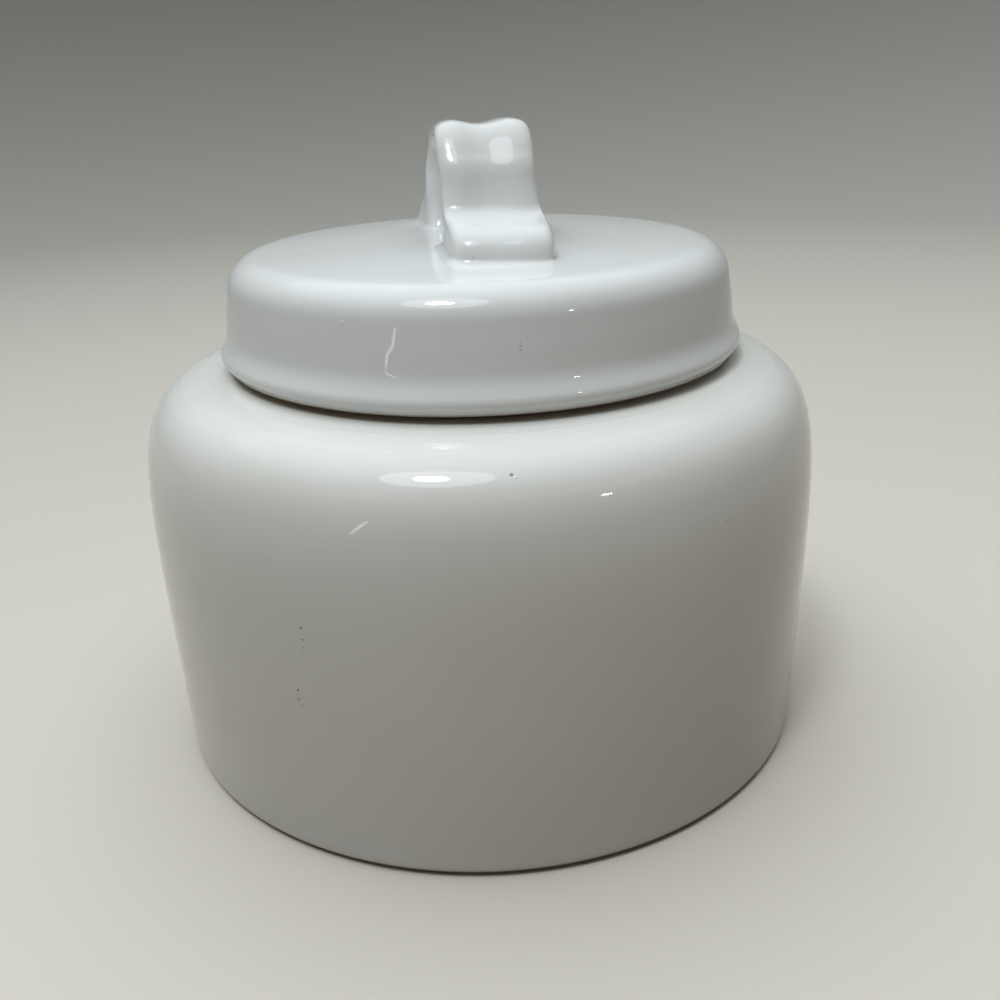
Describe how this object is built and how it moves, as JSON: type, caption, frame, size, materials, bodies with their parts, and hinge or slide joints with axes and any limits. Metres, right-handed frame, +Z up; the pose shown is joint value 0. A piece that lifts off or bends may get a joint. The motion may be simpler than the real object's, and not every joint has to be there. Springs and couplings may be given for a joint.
{
  "type": "lidded canister",
  "caption": "Wide round-shouldered glazed ceramic canister with a cap lid that lifts off its collar by an arched strap handle.",
  "frame": {"origin": "centre of the foot ring's underside, on the surface that the jar stands on", "axes": "+Z up along the jar's axis; -Y towards the picture's viewer, roughly along the handle's strap; +X to the viewer's right"},
  "size_m": [0.18, 0.18, 0.1603],
  "materials": {
    "jar_glaze": "glossy white glaze with a faint warm cast",
    "lid_glaze": "glossy white glaze, slightly cooler than the jar's"
  },
  "bodies": {
    "jar": {"jar_body": "jar_glaze"},
    "lid": {"lid": "lid_glaze", "lid_handle": "lid_glaze"}
  },
  "joints": [
    {"name": "lid_lift", "type": "slide", "parent": "jar", "child": "lid", "axis": [0, 0, 1], "range_m": [0, 0.08]}
  ]
}
